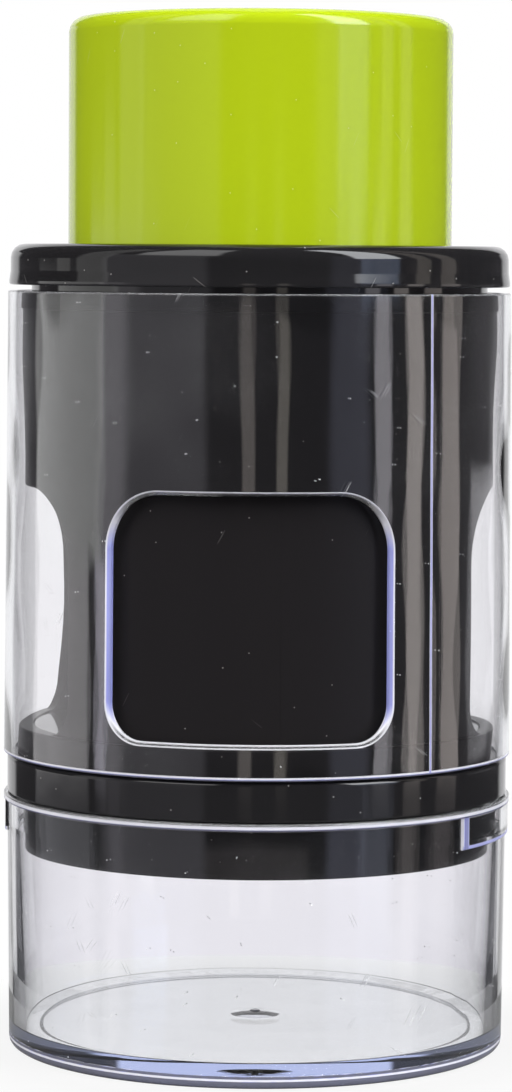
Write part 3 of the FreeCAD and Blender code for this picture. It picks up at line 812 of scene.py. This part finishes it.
def slice_cup(material):
    """Drafted cup turned about Z, whose profile changes over the bayonet pockets.

    Over a pocket the outside bulges. Over its entry the inside is cut back up to the rim,
    and over its locking stretch the rim stays as a lip.
    """
    plain = cup_outline(CUP_OUT_TOP, CUP_BORE_TOP, CUP_BORE_TOP)
    entry = cup_outline(POCKET_OUT, POCKET_IN, POCKET_IN)
    lipped = cup_outline(POCKET_OUT, POCKET_IN, CUP_BORE_TOP)
    bulged = cup_outline(POCKET_OUT, CUP_BORE_TOP, CUP_BORE_TOP)
    # Light and shade painted into the cup's colour: all round, over the pockets and at their sides
    around, side_painted_light = cup_painted_light(**CUP_PAINTED_LIGHT_AND_SHADE), cup_painted_light(**POCKET_SIDE_PAINTED_LIGHT)
    pocket_painted_light = cup_painted_light(**POCKET_PAINTED_LIGHT_AND_SHADE, **CUP_PAINTED_LIGHT_AND_SHADE)
    starts = (POCKET_START, POCKET_START - 180)
    stops = [0, POCKET_SIDE, POCKET_SIDE + ENTRY_SPAN, POCKET_SPAN - POCKET_SIDE, POCKET_SPAN]
    angles = angles_with([start + stop for start in starts for stop in (*stops, *SIDE_CLOSE)], POCKET_SOFT)
    shape = np.repeat(plain[None], len(angles), axis=0)
    light = np.repeat(around[None], len(angles), axis=0)
    layers = ((stops[0], stops[4], bulged - plain), (stops[1], stops[3], lipped - bulged),
              (stops[1], stops[2], entry - lipped))
    for start in starts:
        for low, high, change in layers:
            share = step_between(angles, start + low, start + high, POCKET_SOFT)
            shape = shape + share[:, None, None] * change
        within = step_between(angles, start, start + POCKET_SPAN, POCKET_SOFT)[:, None]
        side = np.interp(angles - start, SIDE_STOPS, SIDE_LEVELS)[:, None]
        light = np.maximum(light, np.maximum(within * pocket_painted_light, side * side_painted_light))
    grid = (swept(shape, angles), None, light)
    return add_piece("slice_cup", [grid], "cup", "collection_cup", material)


def wall_round_hole(radius_at, painted_light_at, centre, lines, hole, edge, glow):
    """Grids of a wall's outside, its inside, its two ends and the edge of the hole in it.

    The edge is a profile of (offset, depth): how far each of its lines lies outside the
    hole's smallest outline, and how deep it lies under the wall's outside. The glow is
    the light painted on those lines at the hole's sides, at its top and at its bottom.
    """
    across, up, rows = lines
    half = hole["half"]
    columns = tuple(int(across.searchsorted(side - SAME)) for side in (-half, half))
    unit = math.degrees(1 / hole["radius"])
    keep = np.ones((len(up) - 1, len(across) - 1), bool)
    keep[rows[0]:rows[1], columns[0]:columns[1]] = False
    i, j = loop_of(rows, columns)
    walls, lights = [], []
    for offset, depth in edge:
        u, v = pierced(across, up, hole, offset)
        walls.append(place(radius_at(u, v, depth), centre + u * unit, v))
        lights.append(np.broadcast_to(painted_light_at(u, v, depth), u.shape))
    rim = np.array([wall[i, j] for wall in walls])
    side, top, bottom = glow
    high = np.interp(v[i, j] - hole["high"], [-hole["round_high"], -LIGHT_TURN], [0, 1])
    low = np.interp(v[i, j] - hole["low"], [LIGHT_TURN, hole["round_low"]], [1, 0])
    glow = side[:, None] * (1 - high - low) + top[:, None] * high + bottom[:, None] * low
    glow[0] = glow[-1] = WALL
    ends = [(np.array((walls[0][row], walls[-1][row])), None,
             np.array((lights[0][row], lights[-1][row]))) for row in (0, -1)]
    return [(walls[0], keep, lights[0]), (walls[-1], keep, lights[-1]), (rim, None, glow)] + ends


def edge_profile(corners):
    """The middle corners of a rounded profile, from support point to support point."""
    drop = ARC_STEPS + 3
    return rounded(corners, closed=False)[drop:-drop]


def sink_marks(angle, height, waves):
    """How far faint waves over a wall lift it."""
    angle = np.radians(angle)
    return SINK * sum(np.cos(count * angle + rate * height + phase) for count, rate, phase in waves)


def window_tube(material):
    """Drafted clear tube with one bevelled window and a full-height rib inside."""
    mean = (SLEEVE_OUT_LOW + SLEEVE_OUT_TOP) / 2
    hole = dict(half=math.radians(WINDOW_HALF) * mean, low=WINDOW_LOW, high=WINDOW_TOP, radius=mean,
                round_high=WINDOW_ROUND_HIGH, round_low=WINDOW_ROUND_LOW, reach=WINDOW_REACH, low_share=1.0)
    rib = math.radians(RIB_ANGLE) * mean
    flank = 1 + RIB_SLOPE * np.array((-1, 0, 1))
    rib_lines = rib + RIB_HALF * np.concatenate((-flank[::-1], flank))
    painted_line = rib + RIB_PAINTED_LINE + np.array(RIB_PAINTED_LINE_STOPS)
    turn = 1 - np.cos(np.linspace(0, np.pi / 2, ARC_STEPS + 1))
    first, spacing = SLEEVE_ROWS
    above = np.concatenate((np.arange(first, SLEEVE_TOP - 2, spacing), [SLEEVE_TOP + TOP_STOPS[0]],
                            (SLEEVE_TOP - SLEEVE_ROUND * turn)[::-1]))
    below = SLEEVE_LOW + np.concatenate((SLEEVE_FOOT_ROUND * turn, FOOT_STOPS[3:]))
    up, rows = hole_levels(hole, below, above)
    lines = (hole_lines(math.pi * mean, hole, np.concatenate((painted_line, rib_lines))), up, rows)
    draft = (SLEEVE_OUT_TOP - SLEEVE_OUT_LOW) / (SLEEVE_TOP - SLEEVE_LOW)

    def curl(rise, rounding):
        """How far a rounded corner lies back at a height above its foot."""
        return rounding - np.sqrt(rounding ** 2 - np.clip(rounding - rise, 0, rounding) ** 2)

    def radius_at(u, v, depth):
        """Outside radius at a level, less the depth, with rounded ends and the rib inside."""
        turned, outside = np.degrees(u / mean), SLEEVE_OUT_LOW + draft * (v - SLEEVE_LOW) - depth
        top_curl = curl(SLEEVE_TOP - v, SLEEVE_ROUND)
        if depth < SLEEVE_WALL:
            shy = curl(v - SLEEVE_LOW, SLEEVE_FOOT_ROUND) + top_curl
            return outside - shy + sink_marks(turned, v, SLEEVE_WAVES)
        raised = np.interp(u, rib_lines, [0, 0.5, 1, 1, 0.5, 0]) * RIB_DEPTH
        shy = curl(v - SLEEVE_LOW, SLEEVE_ROUND) + top_curl
        return outside + shy - raised + sink_marks(turned, v, SLEEVE_BORE_WAVES)

    def painted_light_at(u, v, depth):
        """Light and shade painted at both rims, and light painted on the outside in front of the rib's left
        flank.
        """
        rims = np.interp(v - SLEEVE_LOW, FOOT_STOPS, FOOT_PAINTED_LEVELS)
        rims = rims + np.interp(v - SLEEVE_TOP, TOP_STOPS, TOP_PAINTED_LEVELS)
        line = np.interp(u, painted_line, [0, RIB_PAINTED_LEVEL, RIB_PAINTED_LEVEL, 0]) * (depth < SLEEVE_WALL)
        return np.maximum(rims, line)

    middle = ((1 - BEVEL_MIDDLE) * WINDOW_BEVEL, BEVEL_MIDDLE * WINDOW_BEVEL, FAINT_EDGE)
    edge = edge_profile([(SLEEVE_WALL, 0), (WINDOW_BEVEL, 0, CUT_EDGE), middle, (0, WINDOW_BEVEL, CUT_EDGE),
                         (0, SLEEVE_WALL, CUT_EDGE), (SLEEVE_WALL, SLEEVE_WALL)])
    edge[-1, 1] = SLEEVE_WALL
    glow = [np.repeat(levels, ARC_STEPS + 3) for levels in WINDOW_PAINTED_LIGHT]
    grids = wall_round_hole(radius_at, painted_light_at, SLEEVE_TURN, lines, hole, edge, glow)
    return add_piece("window_tube", grids, "sleeve", "window_sleeve", material)


def chamber_tube(material):
    """Tube with two loading openings: each half is a wall round a hole, on a turned foot."""
    hole = dict(half=math.radians(OPENING_HALF) * BODY, low=SILL, high=OPENING_TOP, radius=BODY,
                round_high=OPENING_ROUND_HIGH, round_low=OPENING_ROUND_LOW, reach=OPENING_REACH,
                low_share=0.0)
    span = math.pi / 2 * BODY
    key_lines = span - KEY_HALF * BODY / BORE * np.array([1 + KEY_SLOPE, 1 - KEY_SLOPE])
    wall = BODY - BORE
    band = BODY_TOP - BAND_DEPTH
    corner_depth, corner_back = np.array(TOP_CORNER).T
    steps = np.array([-STEP_SUPPORT, -BAND_STEP, BAND_STEP, STEP_SUPPORT])
    above = np.concatenate((BODY_ROWS, PLUG_LOW - np.array([STEP_SUPPORT, PLUG_STEP, -PLUG_STEP]),
                            band + steps, [BODY_TOP - TOP_ROW], BODY_TOP - corner_depth))
    up, rows = hole_levels(hole, [], above)
    lines = (hole_lines(span, hole, np.concatenate((-key_lines, key_lines))), up, rows)

    def radius_at(u, v, depth):
        """Outside with its top band, or the bore with the plug's socket and the guide keys."""
        if depth < wall:
            outside = np.interp(v, [band - BAND_STEP, band + BAND_STEP, *(BODY_TOP - corner_depth)],
                                [BODY, TOP_BAND, *(TOP_BAND - corner_back)])
            return outside - depth + sink_marks(np.degrees(u / BODY), v, BODY_WAVES)
        socket = np.interp(v, [PLUG_LOW - PLUG_STEP, PLUG_LOW + PLUG_STEP], [0, PLUG_SOCKET - BORE])
        key = np.interp(abs(u), key_lines, [0, KEY_DEPTH]) * (v < PLUG_LOW - 2 * PLUG_STEP)
        return BORE + socket - key

    def painted_light_at(u, v, depth):
        """No painted light or shade, as the wall is black."""
        return WALL

    edge = edge_profile([(wall, 0), (0, 0, SOFT_EDGE), (0, wall, SOFT_EDGE), (wall, wall)])
    edge[-1, 1] = wall
    foot = rounded([(BODY, SILL), (FOOT_RING, SILL, SOFT_EDGE), (FOOT_RING, SHOULDER), (SPIGOT, SHOULDER),
                    (SPIGOT, SPIGOT_LOW), (BORE, SPIGOT_LOW), (BORE, SILL)], closed=False)
    grids = []
    for centre in (90, -90):
        half = wall_round_hole(radius_at, painted_light_at, centre, lines, hole, edge, np.zeros((3, len(edge))))
        grids += half[:3] + half[4:]
        grids.append((swept(foot, centre + np.degrees(lines[0] / BODY)), None, WALL))
    return add_piece("chamber_tube", grids, "head", "chamber_body", material)


def dress(material, *nodes):
    """Gives CAD nodes a material in place of their plain one."""
    for node in nodes:
        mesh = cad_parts[node].data
        mesh.materials.clear()
        mesh.materials.append(material)


def studio_world():
    """Studio seen by its own light: white behind the object, dim in front, tall panels at the sides.

    The camera sees plain white, and rays that only pass through clear plastic see white
    straight behind. All others see the panels.
    """
    world = bpy.data.worlds.new("studio")
    world.use_nodes = True
    world.cycles.sampling_method = "NONE"
    tree = world.node_tree
    tree.nodes.clear()
    direction = add_node(tree, "TexCoord").outputs["Generated"]
    axes = add_node(tree, "SeparateXYZ", {0: direction}).outputs
    backwards = add_node(tree, "Math", {0: axes[1], 1: -1.0}, operation="MULTIPLY")
    azimuth = add_node(tree, "Math", {0: axes[0], 1: backwards}, operation="ARCTAN2")
    azimuth = add_node(tree, "Math", {0: azimuth}, operation="DEGREES")
    elevation = add_node(tree, "Math", {0: axes[2]}, operation="ARCSINE")
    elevation = add_node(tree, "Math", {0: elevation}, operation="DEGREES")

    def patch(centre, half, side_soft, low, high, soft):
        """1 inside a smooth-edged patch of azimuth and elevation."""
        off = add_node(tree, "Math", {0: azimuth, 1: CAMERA_AZIMUTH + centre}, operation="SUBTRACT")
        off = add_node(tree, "Math", {0: off, 1: -180.0, 2: 180.0}, operation="WRAP")
        off = add_node(tree, "Math", {0: off}, operation="ABSOLUTE")
        limits = ((off, half + side_soft / 2, half - side_soft / 2), (elevation, low - soft, low + soft),
                  (elevation, high + soft, high - soft))
        mask = 1.0
        for value, near, far in limits:
            level = add_node(tree, "MapRange", {"Value": value, "From Min": near, "From Max": far},
                             interpolation_type="SMOOTHSTEP")
            mask = add_node(tree, "Math", {0: mask, 1: level}, operation="MULTIPLY")
        return mask

    def lit_by(light, colour, mask):
        """The light with a colour added where the mask is."""
        glow = add_node(tree, "VectorMath", {0: colour, "Scale": mask}, operation="SCALE")
        return add_node(tree, "VectorMath", {0: light, 1: glow}, operation="ADD")

    light, sweep = AMBIENT, STUDIO_SIDE
    for *limits, colour in PANELS:
        light = lit_by(light, colour, patch(*limits))
    for *limits, colour in SWEEPS:
        sweep = lit_by(sweep, colour, patch(*limits))
    rays = add_node(tree, "LightPath").outputs
    *limits, colour = SOFTBOX
    bare = add_node(tree, "Math", {0: rays["Transmission Depth"], 1: 0.5}, operation="LESS_THAN")
    bare = add_node(tree, "Math", {0: bare, 1: patch(*limits)}, operation="MULTIPLY")
    light = lit_by(light, colour, bare)
    light = add_node(tree, "Mix", {0: straight_through(tree), MIX_A: light, MIX_B: sweep},
                     data_type="RGBA").outputs[MIXED]
    seen = add_node(tree, "Mix", {0: rays["Is Camera Ray"], MIX_A: light, MIX_B: linear("FFFFFF")},
                    data_type="RGBA").outputs[MIXED]
    background = add_node(tree, "Background", {"Color": seen})
    add_node(tree, "OutputWorld", {"Surface": background})
    bpy.context.scene.world = world


def straight_through(tree):
    """1 for the camera's own rays and for those that only passed through clear plastic."""
    path = add_node(tree, "LightPath").outputs
    bounces = add_node(tree, "Math", {0: path["Glossy Depth"], 1: path["Diffuse Depth"]}, operation="ADD")
    direct = add_node(tree, "Math", {0: bounces, 1: 0.5}, operation="LESS_THAN")
    through = add_node(tree, "Math", {0: direct, 1: path["Is Transmission Ray"]}, operation="MULTIPLY")
    return add_node(tree, "Math", {0: through, 1: path["Is Camera Ray"]}, operation="MAXIMUM")


def pale_floor():
    """Round table top: lit by the lamps, and lifted to white where the camera sees it.

    It fades into the white round it.
    """
    material, tree = new_material("matt_white_board")
    paint = add_node(tree, "BsdfDiffuse", {"Color": linear(FLOOR_PAINT)})
    white = add_node(tree, "Emission", {"Color": linear("FFFFFF")})
    away = add_node(tree, "VectorMath", {0: in_millimetres(tree)}, operation="LENGTH").outputs["Value"]
    lift = add_node(tree, "MapRange", {"Value": away, "From Min": FLOOR_FADE, "From Max": FLOOR_RADIUS,
                                       "To Min": FLOOR_WHITE})
    lifted = add_node(tree, "MixShader", {0: lift, 1: paint, 2: white})
    shown = add_node(tree, "MixShader", {0: straight_through(tree), 1: paint, 2: lifted})
    add_node(tree, "OutputMaterial", {"Surface": shown})
    rim = place(FLOOR_RADIUS, np.linspace(-180, 180, FLOOR_SIDES + 1)[:-1], 0.0)
    mesh = bpy.data.meshes.new("table_top")
    mesh.from_pydata(rim, [], [list(range(FLOOR_SIDES))])
    mesh.materials.append(material)
    floor = bpy.data.objects.new("table_top", mesh)
    bpy.context.scene.collection.objects.link(floor)


def soft_lamps():
    """Large square lamps that light the matt colours and cast the soft shadow."""
    for name, azimuth, elevation, size, power in LAMPS:
        lamp = bpy.data.lights.new(name, "AREA")
        lamp.size = size
        lamp.energy = power
        light = bpy.data.objects.new(name, lamp)
        aim = Matrix.Translation((0, 0, LAMP_AIM))
        turn = Matrix.Rotation(math.radians(CAMERA_AZIMUTH + azimuth), 4, "Z")
        tilt = Matrix.Rotation(math.radians(90 - elevation), 4, "X")
        light.matrix_world = aim @ turn @ tilt @ Matrix.Translation((0, 0, LAMP_DISTANCE))
        light.visible_camera = light.visible_glossy = light.visible_transmission = False
        bpy.context.scene.collection.objects.link(light)


def photo_camera():
    """Camera where the photograph was taken from, aimed at the axis and rolled."""
    lens = bpy.data.cameras.new("photo_camera")
    lens.lens = CAMERA_LENS
    lens.sensor_width = SENSOR
    lens.shift_x = CAMERA_SHIFT
    lens.clip_start = CAMERA_NEAR
    camera = bpy.data.objects.new("photo_camera", lens)
    stand = Matrix.Translation(place(CAMERA_DISTANCE, CAMERA_AZIMUTH, CAMERA_HEIGHT))
    turn = Matrix.Rotation(math.radians(CAMERA_AZIMUTH), 4, "Z")
    tilt = Matrix.Rotation(math.pi / 2 - CAMERA_PITCH, 4, "X")
    roll = Matrix.Rotation(math.radians(CAMERA_ROLL), 4, "Z")
    camera.matrix_world = stand @ turn @ tilt @ roll
    bpy.context.scene.collection.objects.link(camera)
    bpy.context.scene.camera = camera


black = gloss_abs("black_moulded_abs", "1E1D1E", 0.06, "9A9794", 0.5)
satin = gloss_abs("black_satin_abs", "211F20", 0.3, "8A8784", 0.3, SATIN_IOR)
lime = gloss_abs("lime_moulded_abs", "B3C814", 0.12, "D8DF9A", 0.15)
clear = clear_san("clear_moulded_san")
steel = ground_steel("ground_stainless_strip")

palm_cap(lime)
collar_ring(black)
skirted_band(black)
chamber_tube(satin)
window_tube(clear)
slice_cup(clear)
dress(black, "pusher_core", "pusher_foot", "blade_frame", "blade_clamp")
dress(steel, *(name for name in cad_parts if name.startswith(("blade_0", "blade_1"))))

studio_world()
pale_floor()
soft_lamps()
photo_camera()
bpy.context.scene.view_settings.view_transform = "Standard"
